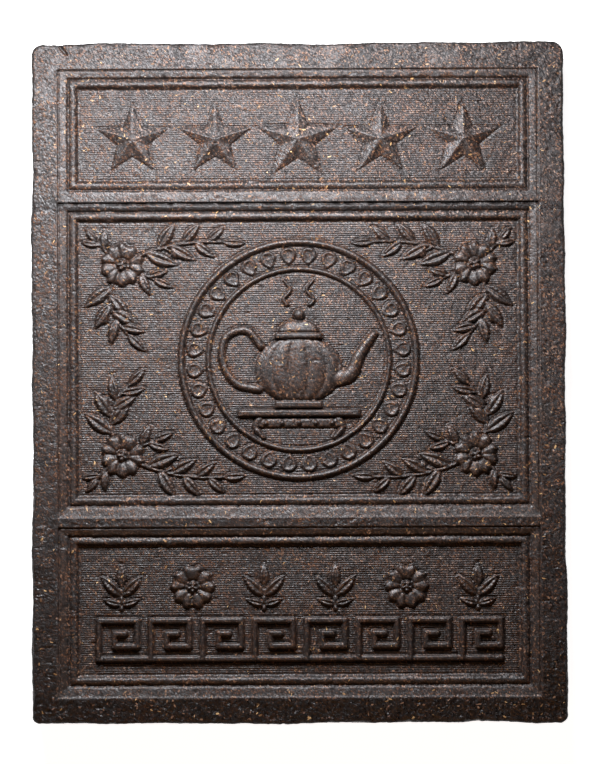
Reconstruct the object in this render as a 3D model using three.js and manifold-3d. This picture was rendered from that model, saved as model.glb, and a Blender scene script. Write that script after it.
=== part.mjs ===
// A pressed black-tea brick, lying on its back with the moulded face up.
// It is one solid block of tea dust: a plain rim round three sunk panels, each inside a
// mitred band and a bead. The top panel carries a row of five faceted stars, the middle one a
// round medallion with a teapot and a spray of leaves and blossom in each corner, and the
// bottom one a row of sprigs and blossoms over a running key fret.
// Millimetres, +Z up. The origin is under the middle of the brick, on the face it rests on.
import * as THREE from 'three';
import { mergeVertices } from 'three/addons/utils/BufferGeometryUtils.js';
import Module from 'manifold-3d';

const wasm = await Module();
wasm.setup();

// ---- The block -------------------------------------------------------------------------
const WIDTH = 187;
const HEIGHT = 238.5;
const THICKNESS = 22;
const TOP_CORNER_RADIUS = 4;
const BOTTOM_CORNER_RADIUS = 2.6;
const CORNER_STEPS = 3;
const EDGE_STEP = 9;
const EDGE_ROUNDING = 1;
// The pressed edge wanders in and out: [height of the wave in mm, waves round the brick, phase].
const EDGE_WAVES = [[0.2, 7, 0.6], [0.15, 17, 2.1], [0.12, 29, 4.0]];

// ---- The three sunk panels, as the outer edge of each mitred band ---------------------------
const PANEL_HALF_WIDTH = 84.3;
const STAR_PANEL = { bottom: 63.7, top: 109.9 };
const PICTURE_PANEL = { bottom: -47.1, top: 63.2 };
const LOWER_PANEL = { bottom: -110, top: -50.8 };
const PANEL_DEPTH = 3;
const FLOOR_INSET = 7.2;
// From a panel's outer edge to its floor: [distance in from the edge, depth under the rim].
const BAND_PROFILE = [
  [0, 0.4], [3.3, 1.2], [3.9, 2.2], [4.2, 2.15],
  [4.8, 1.4], [5.4, 1.2], [6.1, 1.6], [6.7, 2.6], [FLOOR_INSET, PANEL_DEPTH],
];

// ---- The star panel ------------------------------------------------------------------------
const STAR_ROW_Y = 85.5;
const STAR_SPACING = 29.1;
const STAR_RADIUS = 13.4;
const MIDDLE_STAR_RADIUS = 15;
const STAR_WAIST = 0.43;
const STAR_HEIGHT = 2.1;
const STAR_PEAK = 0.02;   // how wide its peak is, as a share of its foot

// ---- The medallion in the picture panel ----------------------------------------------------
const MEDALLION_Y = (PICTURE_PANEL.bottom + PICTURE_PANEL.top) / 2;
const OUTER_RING = { radius: 41.3, width: 2.6, height: 1.6 };
const INNER_RING = { radius: 31.8, width: 2, height: 1.3 };
const PETAL_COUNT = 32;
const PETAL = { inner: 33.2, length: 6.5, width: 5.8, height: 1.3 };
const PETAL_STATIONS = [0.02, 0.55, 0.98];
const RING_SIDES = 44;

// ---- The teapot and its table, measured from the medallion's middle --------------------------
const POT = { y: -3.5, halfWidth: 15.5, halfHeight: 12, height: 2.6, lobes: 7, lobeDepth: 0.12, rows: 8 };
const POT_FOOT = { y: -15.9, halfWidth: 8.6, halfHeight: 1.5, height: 1.9 };
const POT_COLLAR = { y: 8.2, halfWidth: 8.4, halfHeight: 1.1, height: 2.3 };
const LID = { y: 9.2, halfWidth: 7.4, halfHeight: 4.9, height: 2.1 };
const KNOB = { y: 15.6, radius: 2.1, height: 2.2 };
const SPOUT = { points: [[12.5, -7], [18, -5.4], [21.2, 1.2], [26.4, 8.8]], from: 3, to: 1.5, height: 1.9 };
const HANDLE = {
  points: [[-13, 4.5], [-18.6, 10.4], [-25.4, 8], [-26.8, -0.5], [-22, -8.4], [-14, -10.5]],
  radius: 1.45, height: 1.7,
};
const TABLE_TOP = { y: -18.9, halfWidth: 21.6, halfHeight: 1.35, height: 1.9 };
const TABLE_APRON = { y: -22.3, halfWidth: 15.6, halfHeight: 1.7, height: 1.1 };
const TABLE_LEG = { x: 13.6, top: -20, foot: -27.3, radius: 1.4, height: 1.6 };
const APRON_BOSSES = 5;
const BOSS_RADIUS = 1.15;
// Two curls of steam over the lid, which sway about x as they rise.
const STEAM = { x: 4, sway: 1.15, foot: 19.2, top: 28.2, waves: 1.25, radius: 0.85, height: 1.2, steps: 8 };

// ---- The sprays in the picture panel's corners, drawn for the top right one -------------------
const SPRAY_ROOT = [62, 33.5];
// Each bough: a curve from the root, how many side leaves, and the length of its first and last leaf.
const BOUGHS = [
  { bend: [46, 42.5], end: [26.5, 41.3], leaves: 6, longest: 12, shortest: 8, from: 0.26, to: 0.86 },
  { bend: [71, 20], end: [60, 9], leaves: 6, longest: 12, shortest: 8.6, from: 0.3, to: 0.88 },
  { bend: [66, 36], end: [70.6, 41.4], leaves: 2, longest: 7.6, shortest: 6.6, from: 0.72, to: 0.92 },
  { bend: [57, 31], end: [51, 28.4], leaves: 2, longest: 8.4, shortest: 7.6, from: 0.6, to: 0.84 },
];
const LEAF_SPREAD = THREE.MathUtils.degToRad(45);
const LEAF_SLIMNESS = 0.41;
const LEAF_HEIGHT = 1.55;
// Where a leaf's sections stand, as shares of its length.
const LEAF_STATIONS = [0.02, 0.3, 0.66, 0.98];
const LEAF_TIP_WIDTH = 0.3;
const STEM_RADIUS = 0.75;
const STEM_HEIGHT = 1.24;
const STALK_RADIUS = 0.45;
const STALK_HEIGHT = 1.08;
const BOUGH_STEP = 10;    // about how long each straight piece of a bough is
const BUDS = [{ bough: 0, along: 0.44, side: 1 }, { bough: 1, along: 0.6, side: 1 }];
const BUD = { stalk: 4.6, length: 3.6, width: 2.7, height: 1.5 };

// ---- Blossoms ---------------------------------------------------------------------------------
const BLOSSOM_PETALS = 5;
const BLOSSOM_RADIUS = 8;
const BLOSSOM_PETAL = { length: 6.4, width: 6.1 };
const BLOSSOM_HEIGHT = 1.9;
const BLOSSOM_EYE = { radius: 2.3, height: 2.4 };

// ---- The bottom panel -------------------------------------------------------------------------
const UPPER_ROW_Y = -71.6;
const UPPER_ROW_SPACING = 25;
const UPPER_ROW = ['sprig', 'blossom', 'sprig', 'sprig', 'blossom', 'sprig'];
const SPRIG_FOOT = -7.8;
// Leaves of a sprig: [height of its base, angle from upright in degrees, length].
const SPRIG_LEAVES = [[-0.5, 0, 8.8], [-3, 50, 10], [-3, -50, 10], [-6.2, 78, 6.6], [-6.2, -78, 6.6]];
const FRET_Y = -96.8;
const FRET_REPEATS = 8;
const FRET_SPACING = 18.2;
const FRET_HEIGHT = 13.4;
const FRET_STROKE = { width: 2.2, height: 1.7 };
const FRET_CHAMFER = {
  bevelEnabled: true, bevelSegments: 1, bevelThickness: 0.8, bevelSize: 0.5, bevelOffset: -0.5,
};
// One hook of the fret, as shares of the spacing and of the fret's height.
const FRET_PATH = [[0, 0], [0, 1], [0.74, 1], [0.74, 0.33], [0.3, 0.33], [0.3, 0.66], [0.5, 0.66]];

const FLOOR_Z = THICKNESS - PANEL_DEPTH;

const TEA = new THREE.MeshStandardMaterial({
  name: 'pressed_tea', color: 0x3b2e2a, roughness: 0.55, metalness: 0,
});

// ---- Solids -----------------------------------------------------------------------------------

// A three.js geometry as a closed solid.
function solidFrom(geometry) {
  const bare = geometry.clone();
  bare.deleteAttribute('normal');
  bare.deleteAttribute('uv');
  const merged = mergeVertices(bare, 1e-4);
  return new wasm.Manifold(new wasm.Mesh({
    numProp: 3,
    vertProperties: merged.attributes.position.array,
    triVerts: new Uint32Array(merged.index.array),
  }));
}

// A closed geometry through rings of equally many points. Each end is closed to its own middle.
function loft(rings) {
  const count = rings[0].length;
  const middle = (ring) => ring.reduce((sum, p) => sum.add(p), new THREE.Vector3()).divideScalar(count);
  const points = [...rings.flat(), middle(rings[0]), middle(rings.at(-1))];
  const last = (rings.length - 1) * count;
  const index = [];
  for (let i = 0; i < count; i++) {
    const next = (i + 1) % count;
    for (let base = 0; base < last; base += count) {
      index.push(base + i, base + next, base + count + next);
      index.push(base + i, base + count + next, base + count + i);
    }
    index.push(last + count, next, i, last + count + 1, last + i, last + next);
  }
  const geometry = new THREE.BufferGeometry().setFromPoints(points);
  geometry.setIndex(index);
  return facingOut(geometry);
}

// The same geometry, with its triangles turned round if they face inwards.
function facingOut(geometry) {
  const { index, attributes: { position } } = geometry;
  const [a, b, c] = [new THREE.Vector3(), new THREE.Vector3(), new THREE.Vector3()];
  let volume = 0;
  for (let i = 0; i < index.count; i += 3) {
    [a, b, c].forEach((corner, k) => corner.fromBufferAttribute(position, index.getX(i + k)));
    volume += a.dot(b.cross(c));
  }
  if (volume < 0) geometry.setIndex([...index.array].reverse());
  return geometry;
}

// A geometry drawn at the panel's floor, turned about Z and moved to its place.
function placed(geometry, x, y, angle = 0) {
  return geometry.rotateZ(angle).translate(x, y, FLOOR_Z);
}

// The brick's outline, moved in by inset all round.
function outline(inset) {
  const [w, h, top, bottom] = [WIDTH / 2, HEIGHT / 2, TOP_CORNER_RADIUS, BOTTOM_CORNER_RADIUS];
  const shape = new THREE.Shape();
  shape.moveTo(w, bottom - h);
  shape.absarc(w - top, h - top, top, 0, Math.PI / 2);
  shape.absarc(top - w, h - top, top, Math.PI / 2, Math.PI);
  shape.absarc(bottom - w, bottom - h, bottom, Math.PI, 1.5 * Math.PI);
  shape.absarc(w - bottom, bottom - h, bottom, 1.5 * Math.PI, 2 * Math.PI);
  let walked = 0;
  return shape.curves.flatMap((curve) => {
    const length = curve.getLength();
    const steps = curve instanceof THREE.LineCurve ? Math.round(length / EDGE_STEP) : CORNER_STEPS;
    const points = Array.from({ length: steps }, (_, i) => {
      const around = (2 * Math.PI * (walked + (i / steps) * length)) / shape.getLength();
      const wave = EDGE_WAVES
        .reduce((sum, [high, turns, phase]) => sum + high * Math.sin(turns * around + phase), 0);
      const along = curve.getTangentAt(i / steps);
      const out = new THREE.Vector2(along.y, -along.x);
      return curve.getPointAt(i / steps).addScaledVector(out, wave - inset);
    });
    walked += length;
    return points;
  });
}

function block() {
  const levels = [
    [EDGE_ROUNDING, 0], [0, EDGE_ROUNDING], [0, THICKNESS - EDGE_ROUNDING],
    [0.3 * EDGE_ROUNDING, THICKNESS - 0.3 * EDGE_ROUNDING], [EDGE_ROUNDING, THICKNESS],
  ];
  return loft(levels.map(([inset, z]) => outline(inset).map((p) => new THREE.Vector3(p.x, p.y, z))));
}

// What the mould pressed out of one panel: everything over its band, its bead and its floor.
function pressedOut({ bottom, top }) {
  const [halfHeight, y] = [(top - bottom) / 2, (top + bottom) / 2];
  const ring = (inset, z) => [[1, -1], [1, 1], [-1, 1], [-1, -1]].map(([sx, sy]) =>
    new THREE.Vector3(sx * (PANEL_HALF_WIDTH - inset), y + sy * (halfHeight - inset), z));
  const rings = BAND_PROFILE.map(([inset, depth]) => ring(inset, THICKNESS - depth));
  return loft([ring(0, THICKNESS + 1), ...rings]);
}

// A five-pointed star with a ridge down each arm and a valley between the arms.
function star(x, y, radius) {
  const rim = Array.from({ length: 10 }, (_, i) => {
    const angle = Math.PI / 2 + (i * Math.PI) / 5;
    const reach = i % 2 ? radius * STAR_WAIST : radius;
    return new THREE.Vector2(reach * Math.cos(angle), reach * Math.sin(angle));
  });
  const ring = (scale, z) => rim.map((p) => new THREE.Vector3(p.x * scale, p.y * scale, z));
  return placed(loft([ring(1, 0), ring(STAR_PEAK, STAR_HEIGHT)]), x, y);
}

// A leaf along +X from its base, its two halves falling away from a ridge along the midrib.
function leaf(length, width, height, stations = LEAF_STATIONS) {
  return loft(stations.map((along) => {
    const half = Math.max(LEAF_TIP_WIDTH / 2, (width / 2) * Math.sin(Math.PI * along ** 0.85));
    const crest = height * (0.4 + 0.6 * Math.sin(Math.PI * along));
    return [[-1, 0], [0, crest], [1, 0]]
      .map(([across, z]) => new THREE.Vector3(along * length, across * half, z));
  }));
}

// Half a ball, squashed to the given half sizes, that stands on the floor.
function dome(halfWidth, halfHeight, height, around = 12, up = 3) {
  const levels = Array.from({ length: up }, (_, i) => (i * Math.PI) / 2 / up);
  const ring = (reach, z) => Array.from({ length: around }, (_, i) => {
    const angle = (2 * Math.PI * i) / around;
    return new THREE.Vector3(halfWidth * reach * Math.cos(angle), halfHeight * reach * Math.sin(angle), z);
  });
  const rings = levels.map((angle) => ring(Math.cos(angle), height * Math.sin(angle)));
  return loft([...rings, ring(0.03, height)]);
}

// A bar with sloped sides, lying along +X about its middle.
function bar(halfWidth, halfHeight, height) {
  const ring = (grow, z) => [[1, -1], [1, 1], [-1, 1], [-1, -1]].map(([sx, sy]) =>
    new THREE.Vector3(sx * (halfWidth + grow), sy * (halfHeight + grow), z));
  return loft([ring(0, 0), ring(-0.1, 0.5 * height), ring(-0.45 * halfHeight, height)]);
}

// A raised line along points, as half of a tube that tapers from one radius to another.
function cane(points, from, to, height, steps, sides = 6) {
  const bends = points.map(([x, y]) => new THREE.Vector3(x, y, 0));
  const curve = new THREE.CatmullRomCurve3(bends, false, 'centripetal');
  const section = Array.from({ length: sides + 1 }, (_, i) => (Math.PI * i) / sides);
  const rings = Array.from({ length: steps + 1 }, (_, i) => {
    const radius = THREE.MathUtils.lerp(from, to, i / steps);
    const [middle, along] = [curve.getPointAt(i / steps), curve.getTangentAt(i / steps)];
    const across = new THREE.Vector3(-along.y, along.x, 0);
    return section.map((angle) => middle.clone()
      .addScaledVector(across, radius * Math.cos(angle))
      .setZ(angle === 0 || angle === Math.PI ? 0 : height * Math.sin(angle)));
  });
  return loft(rings);
}

// A ring of ridge section, lying flat about the medallion's middle.
function ring({ radius, width, height }) {
  const profile = [
    [radius - width / 2, 0], [radius + width / 2, 0], [radius, height], [radius - width / 2, 0],
  ].map(([r, z]) => new THREE.Vector2(r, z));
  return new THREE.LatheGeometry(profile, RING_SIDES).rotateX(Math.PI / 2);
}

// ---- What the panels carry ------------------------------------------------------------------

function stars() {
  return [-2, -1, 0, 1, 2]
    .map((i) => star(i * STAR_SPACING, STAR_ROW_Y, i ? STAR_RADIUS : MIDDLE_STAR_RADIUS));
}

function medallion() {
  const petals = Array.from({ length: PETAL_COUNT }, (_, i) => {
    const angle = (2 * Math.PI * (i + 0.5)) / PETAL_COUNT;
    const [x, y] = [PETAL.inner * Math.cos(angle), PETAL.inner * Math.sin(angle)];
    const petal = leaf(PETAL.length, PETAL.width, PETAL.height, PETAL_STATIONS);
    return placed(petal, x, MEDALLION_Y + y, angle);
  });
  return [OUTER_RING, INNER_RING].map((r) => placed(ring(r), 0, MEDALLION_Y)).concat(petals);
}

// The pot's round body: melon lobes side by side, each a sickle that runs from foot to collar.
function potBody() {
  const edges = Array.from({ length: POT.lobes + 1 }, (_, i) => Math.sin((i / POT.lobes - 0.5) * Math.PI));
  const turns = Array.from({ length: POT.rows + 1 }, (_, i) => ((i / POT.rows) - 0.5) * Math.PI);
  const height = (share, sunk) => POT.height * Math.sqrt(Math.max(0.02, 1 - share * share)) * (1 - sunk);
  const lobes = edges.slice(1).map((right, i) => {
    const left = edges[i];
    const across = [[left, POT.lobeDepth], [(left + right) / 2, 0], [right, POT.lobeDepth]];
    return loft(turns.map((turn) => {
      const [reach, y] = [Math.max(0.04, Math.cos(turn)), POT.halfHeight * Math.sin(turn)];
      const crest = across.map(([share, sunk]) => new THREE.Vector3(
        share * reach * POT.halfWidth, y, height(share, sunk) * Math.sqrt(reach)));
      return [new THREE.Vector3(crest[0].x, y, 0), ...crest, new THREE.Vector3(crest[2].x, y, 0)];
    }));
  });
  return lobes.map((lobe) => placed(lobe, 0, MEDALLION_Y + POT.y));
}

function teapot() {
  const at = (geometry, y) => placed(geometry, 0, MEDALLION_Y + y);
  const lid = at(dome(LID.halfWidth, LID.halfHeight, LID.height), LID.y);
  const knob = at(dome(KNOB.radius, KNOB.radius, KNOB.height, 10, 3), KNOB.y);
  const foot = at(bar(POT_FOOT.halfWidth, POT_FOOT.halfHeight, POT_FOOT.height), POT_FOOT.y);
  const collar = at(bar(POT_COLLAR.halfWidth, POT_COLLAR.halfHeight, POT_COLLAR.height), POT_COLLAR.y);
  const spout = at(cane(SPOUT.points, SPOUT.from, SPOUT.to, SPOUT.height, 9), 0);
  const handle = at(cane(HANDLE.points, HANDLE.radius, HANDLE.radius, HANDLE.height, 14, 4), 0);
  const curl = (side) => Array.from({ length: STEAM.steps + 1 }, (_, i) => {
    const share = i / STEAM.steps;
    const x = STEAM.x + STEAM.sway * Math.sin(2 * Math.PI * STEAM.waves * share);
    return [side * x, THREE.MathUtils.lerp(STEAM.foot, STEAM.top, share)];
  });
  const steam = [-1, 1].map((side) => at(cane(
    curl(side), STEAM.radius, STEAM.radius / 2, STEAM.height, STEAM.steps, 2), 0));
  return [...potBody(), lid, knob, foot, collar, spout, handle, ...steam];
}

function table() {
  const at = (geometry, y, x = 0) => placed(geometry, x, MEDALLION_Y + y);
  const bosses = Array.from({ length: APRON_BOSSES }, (_, i) => {
    const x = ((i + 0.5) / APRON_BOSSES - 0.5) * 2 * (TABLE_APRON.halfWidth - 1);
    return at(dome(BOSS_RADIUS, BOSS_RADIUS, TABLE_TOP.height, 6, 2), TABLE_APRON.y, x);
  });
  const legs = [-1, 1].map((side) => at(cane([
    [side * TABLE_LEG.x, TABLE_LEG.top], [side * (TABLE_LEG.x + 1.6), (TABLE_LEG.top + TABLE_LEG.foot) / 2],
    [side * (TABLE_LEG.x - 1), TABLE_LEG.foot],
  ], TABLE_LEG.radius, TABLE_LEG.radius * 0.7, TABLE_LEG.height, 5, 4), 0));
  const top = at(bar(TABLE_TOP.halfWidth, TABLE_TOP.halfHeight, TABLE_TOP.height), TABLE_TOP.y);
  const apron = at(bar(TABLE_APRON.halfWidth, TABLE_APRON.halfHeight, TABLE_APRON.height), TABLE_APRON.y);
  return [top, apron, ...bosses, ...legs];
}

function blossom(x, y, turn = 0) {
  const petals = Array.from({ length: BLOSSOM_PETALS }, (_, i) => {
    const angle = turn + (2 * Math.PI * i) / BLOSSOM_PETALS;
    const petal = dome(BLOSSOM_PETAL.length / 2, BLOSSOM_PETAL.width / 2, BLOSSOM_HEIGHT, 8, 2);
    return placed(petal.translate(BLOSSOM_RADIUS - BLOSSOM_PETAL.length / 2, 0, 0), x, y, angle);
  });
  return [...petals, placed(dome(BLOSSOM_EYE.radius, BLOSSOM_EYE.radius, BLOSSOM_EYE.height, 8, 2), x, y)];
}

// One corner's spray: its boughs with their leaves and buds, and the blossom that covers their root.
function spray(sx, sy) {
  const corner = ([x, y]) => [sx * x, MEDALLION_Y + sy * y];
  const pieces = blossom(...corner(SPRAY_ROOT));
  BOUGHS.forEach((bough, number) => {
    const [root, bend, end] = [SPRAY_ROOT, bough.bend, bough.end]
      .map((p) => new THREE.Vector2(...corner(p)));
    const curve = new THREE.QuadraticBezierCurve(root, bend, end);
    const line = curve.getPoints(3).map((p) => [p.x, p.y]);
    const steps = Math.ceil(curve.getLength() / BOUGH_STEP);
    pieces.push(placed(cane(line, STEM_RADIUS, STALK_RADIUS, STEM_HEIGHT, steps, 2), 0, 0));
    const leafAt = (along, turn, length) => {
      const [at, way] = [curve.getPoint(along), curve.getTangent(along)];
      const blade = leaf(length, length * LEAF_SLIMNESS, LEAF_HEIGHT);
      pieces.push(placed(blade, at.x, at.y, way.angle() + turn));
    };
    for (let i = 0; i < bough.leaves; i++) {
      const share = i / (bough.leaves - 1);
      const side = (i % 2 ? -1 : 1) * sx * sy;
      leafAt(THREE.MathUtils.lerp(bough.from, bough.to, share), side * LEAF_SPREAD,
        THREE.MathUtils.lerp(bough.longest, bough.shortest, share));
    }
    leafAt(1, 0, bough.shortest);
    BUDS.filter((bud) => bud.bough === number).forEach(({ along, side }) => {
      const [at, way] = [curve.getPoint(along), curve.getTangent(along)];
      const angle = way.angle() + side * sx * sy * LEAF_SPREAD;
      const reach = new THREE.Vector2(BUD.stalk, 0).rotateAround(new THREE.Vector2(), angle);
      const tip = at.clone().add(reach);
      pieces.push(placed(dome(BUD.length / 2, BUD.width / 2, BUD.height, 6, 2), tip.x, tip.y, angle));
      const stalk = [at.toArray(), tip.toArray()];
      pieces.push(placed(cane(stalk, STALK_RADIUS, STALK_RADIUS, STALK_HEIGHT, 1, 2), 0, 0));
    });
  });
  return pieces;
}

function sprig(x, y) {
  const line = [[x, y + SPRIG_FOOT], [x, y]];
  const stem = placed(cane(line, STEM_RADIUS, STEM_RADIUS, STEM_HEIGHT, 1, 2), 0, 0);
  const leaves = SPRIG_LEAVES.map(([base, lean, length]) => {
    const angle = THREE.MathUtils.degToRad(90 + lean);
    return placed(leaf(length, length * LEAF_SLIMNESS, LEAF_HEIGHT), x, y + base, angle);
  });
  return [stem, ...leaves];
}

function upperRow() {
  return UPPER_ROW.flatMap((kind, i) => {
    const x = (i - (UPPER_ROW.length - 1) / 2) * UPPER_ROW_SPACING;
    return kind === 'sprig' ? sprig(x, UPPER_ROW_Y) : blossom(x, UPPER_ROW_Y, Math.PI / 2);
  });
}

// A raised line with square corners and sloped sides, along points that turn by right angles.
function stroke(points) {
  const half = FRET_STROKE.width / 2;
  const path = points.map(([x, y]) => new THREE.Vector2(x, y));
  const way = (i) => path[i + 1].clone().sub(path[i]).normalize();
  const side = (sign) => path.map((p, i) => {
    const [before, after] = [way(Math.max(0, i - 1)), way(Math.min(i, path.length - 2))];
    const across = [before, after].map((d) => new THREE.Vector2(-d.y, d.x).multiplyScalar(sign * half));
    const out = i === 0 ? before.clone().multiplyScalar(-half) : after.clone().multiplyScalar(half);
    if (i === 0 || i === path.length - 1) return p.clone().add(across[0]).add(out);
    return p.clone().add(across[0]).add(across[1]);
  });
  const flat = new THREE.Shape([...side(1), ...side(-1).reverse()]);
  const raisedLine = new THREE.ExtrudeGeometry(flat, { depth: FRET_STROKE.height, ...FRET_CHAMFER });
  return placed(raisedLine.translate(0, 0, -FRET_CHAMFER.bevelThickness), 0, 0);
}

// The key fret: one hook after another, standing on a line that runs under all of them.
function fret() {
  const start = (-FRET_REPEATS * FRET_SPACING + (1 - FRET_PATH[2][0]) * FRET_SPACING) / 2;
  const hooks = Array.from({ length: FRET_REPEATS }, (_, i) => stroke(FRET_PATH.map(([x, y]) =>
    [start + (i + x) * FRET_SPACING, FRET_Y + y * FRET_HEIGHT])));
  return [stroke([[start, FRET_Y], [-start, FRET_Y]]), ...hooks];
}

// ---- The brick ------------------------------------------------------------------------------

const corners = [[1, 1], [-1, 1], [-1, -1], [1, -1]];
const raised = [
  ...stars(), ...medallion(), ...teapot(), ...table(),
  ...corners.flatMap(([sx, sy]) => spray(sx, sy)), ...upperRow(), ...fret(),
].map(solidFrom);
const panels = [STAR_PANEL, PICTURE_PANEL, LOWER_PANEL].map((panel) => solidFrom(pressedOut(panel)));
const pressed = panels.reduce((left, panel) => left.subtract(panel), solidFrom(block()));
const brick = raised.reduce((whole, piece) => whole.add(piece), pressed);

// The solid's faces as a three.js mesh.
function meshFrom(solid, name, material) {
  const { vertProperties, triVerts } = solid.getMesh();
  const geometry = new THREE.BufferGeometry();
  geometry.setAttribute('position', new THREE.BufferAttribute(new Float32Array(vertProperties), 3));
  geometry.setIndex(new THREE.BufferAttribute(new Uint32Array(triVerts), 1));
  geometry.computeVertexNormals();
  const mesh = new THREE.Mesh(geometry, material);
  mesh.name = name;
  return mesh;
}

const group = new THREE.Group();
group.add(meshFrom(brick, 'tea_brick', TEA));

export default group;
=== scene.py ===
"""A pressed black-tea brick on a pale floor.

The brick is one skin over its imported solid: a relief on a grid whose rows follow the hairline
ribs of the mould, closed by its sides and back. Slivers of stem and leaf lie flush in it.
Sizes are millimetres in the script's own frame, +Z out of the moulded face, and MM turns
them into metres as the meshes are made.
"""
import math

import bpy
import numpy as np
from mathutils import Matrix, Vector


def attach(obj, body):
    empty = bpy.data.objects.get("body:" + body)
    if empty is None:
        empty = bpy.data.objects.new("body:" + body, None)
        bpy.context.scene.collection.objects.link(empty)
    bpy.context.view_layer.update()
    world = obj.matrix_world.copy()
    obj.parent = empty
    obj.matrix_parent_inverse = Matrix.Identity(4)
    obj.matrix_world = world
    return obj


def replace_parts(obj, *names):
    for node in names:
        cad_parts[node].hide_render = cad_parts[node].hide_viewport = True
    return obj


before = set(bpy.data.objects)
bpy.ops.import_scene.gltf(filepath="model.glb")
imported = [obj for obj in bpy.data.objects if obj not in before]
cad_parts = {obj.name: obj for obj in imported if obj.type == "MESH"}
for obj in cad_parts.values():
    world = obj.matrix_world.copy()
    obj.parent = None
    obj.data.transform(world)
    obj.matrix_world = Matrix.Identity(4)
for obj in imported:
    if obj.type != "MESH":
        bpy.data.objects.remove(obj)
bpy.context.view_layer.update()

MM = 0.001

# ---- The block, as in the solid ----
WIDTH = 187
HEIGHT = 238.5
THICKNESS = 22
TOP_CORNER_RADIUS = 4
BOTTOM_CORNER_RADIUS = 2.6
EDGE_ROUNDING = 1
EDGE_WAVES = ((0.2, 7, 0.6), (0.15, 17, 2.1), (0.12, 29, 4.0))
WAVE_REACH = 7  # how far in from the edge its waves die away
EDGE_DARKNESS = 1.2  # how much darker than the face, in tones, the rounded edge is made
LOW_RIM_SHARE = 0.75  # how much of the foot's painted shade and deeper shine the rims beside the lowest panel have
PAINTED_FOOT_SHADE = 0.8  # painted shade over the foot, darker towards the bottom, in tones

# ---- The three sunk panels: (bottom, top) of each mitred band ----
PANEL_HALF_WIDTH = 84.3
STAR_PANEL = (63.7, 109.9)
PICTURE_PANEL = (-47.1, 63.2)
LOWER_PANEL = (-110, -50.8)
PANELS = (STAR_PANEL, PICTURE_PANEL, LOWER_PANEL)
PANEL_DEPTH = 3
FLOOR_INSET = 7.2
BAND_EDGE = 3.1  # where the smooth band ends and the groove begins
BEAD_MIDDLE = 5.2
LIP = 0.4  # the worn edge of the rim, with a row of the grid half way over it
# From a panel's outer edge to its floor: (distance in, depth under the rim).
BAND_PROFILE = (
    (-LIP, 0), (-LIP / 2, -0.08), (-0.05, 0.1), (0.12, 0.38), (0.4, 0.45), (BAND_EDGE, 1.15),
    (3.35, 2.0), (3.6, 2.15), (3.85, 1.85), (4.1, 1.52), (4.6, 1.36), (BEAD_MIDDLE, 1.2),
    (5.7, 1.3), (6.2, 1.5), (6.5, 2.2), (6.8, 2.8), (FLOOR_INSET, PANEL_DEPTH),
)
STAR_BAND_RISE = 0.4  # how much flatter the band round the stars is
FRAME_LIFT = 0.4  # how far the bead and the floor sit above the middle of each frame
SCORE_DEPTH = 0.5  # the fine line along the top and the sides of each frame
SEAM = {"y": 62.9, "half_width": 0.6, "depth": 1.1, "shade": 0.8}  # between the upper frames; shade is the painted shade, in tones, in its groove and on the band under it
RIB_PITCH = 0.78
RIB_HEIGHT = 0.4
GLOSS = {"band": 0.62, "bead": 0.8, "lip": 0.95, "rim": 0.57, "ribs": 0.35}  # how rubbed each is

# ---- Stars ----
STAR_ROW_Y = 85.5
STAR_SPACING = 29.1
STAR_RADIUS = 13.4
MIDDLE_STAR_RADIUS = 15
STAR_WAIST = 0.43
STAR_HEIGHT = 2.1

# ---- Medallion, teapot and table, measured from the medallion's middle ----
MEDALLION_Y = sum(PICTURE_PANEL) / 2
OUTER_RING = {"radius": 41.3, "width": 2.6, "height": 1.6}
INNER_RING = {"radius": 31.8, "width": 2, "height": 1.3}
PETAL_COUNT = 32
PETAL = {"inner": 33.2, "length": 6.5, "width": 5.8, "height": 1.3}
# Parts on the medallion's middle line: (y, half width, half height, height over the floor).
POT = (-3.5, 15.5, 12, 2.6)
POT_LOBES = 7
POT_GROOVE = 0.3  # the grooves' depth as a share of the pot's height
POT_FOOT = (-15.9, 8.6, 1.5, 1.9)
POT_COLLAR = (8.2, 8.4, 1.1, 2.3)
LID = (9.2, 7.4, 4.9, 2.1)
KNOB = (15.6, 2.1, 2.1, 2.2)
TABLE_TOP = (-18.9, 21.6, 1.35, 1.9)
TABLE_APRON = (-22.3, 15.6, 1.7, 1.1)
SPOUT = {"points": ((12.5, -7), (18, -5.4), (21.2, 1.2), (26.4, 8.8)), "start": 3, "end": 1.5, "height": 1.9}
HANDLE = {"points": ((-13, 4.5), (-18.6, 10.4), (-25.4, 8), (-26.8, -0.5), (-22, -8.4), (-14, -10.5)),
          "start": 1.45, "end": 1.45, "height": 1.7}
TABLE_LEG = {"x": 13.6, "top": -20, "foot": -27.3, "radius": 1.4, "height": 1.6}
APRON_BOSSES = {"count": 5, "radius": 1.15, "height": 1.9}
STEAM = {"x": 4, "sway": 1.15, "foot": 19.2, "top": 28.2, "waves": 1.25, "radius": 0.85, "height": 1.2}

# ---- Corner sprays, drawn for the top right one ----
SPRAY_ROOT = (62, 33.5)
# Boughs from the root: bend, end, number of leaves, and the first and last leaf's length and place.
BOUGHS = (
    ((46, 42.5), (26.5, 41.3), 6, (12, 8), (0.26, 0.86)),
    ((71, 20), (60, 9), 6, (12, 8.6), (0.3, 0.88)),
    ((66, 36), (70.6, 41.4), 2, (7.6, 6.6), (0.72, 0.92)),
    ((57, 31), (51, 28.4), 2, (8.4, 7.6), (0.6, 0.84)),
)
BOUGH_STEPS = 12
LEAF_SPREAD = math.radians(45)
LEAF_SLIMNESS = 0.41
LEAF_HEIGHT = 1.55
LEAF_CURL = 0.07  # how far a side leaf's tip bends back, as a share of its length
STEM_RADIUS = 0.75
BUD_PLACES = {0: 0.44, 1: 0.6}  # the number of a bough, and the bud's place along it
BUD = {"stalk": 4.6, "length": 3.6, "width": 2.7, "height": 1.5}
BLOSSOM_PETALS = 5
BLOSSOM_RADIUS = 8
BLOSSOM_HEIGHT = 1.9
BLOSSOM_EYE = {"radius": 2.3, "height": 2.4}
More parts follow.
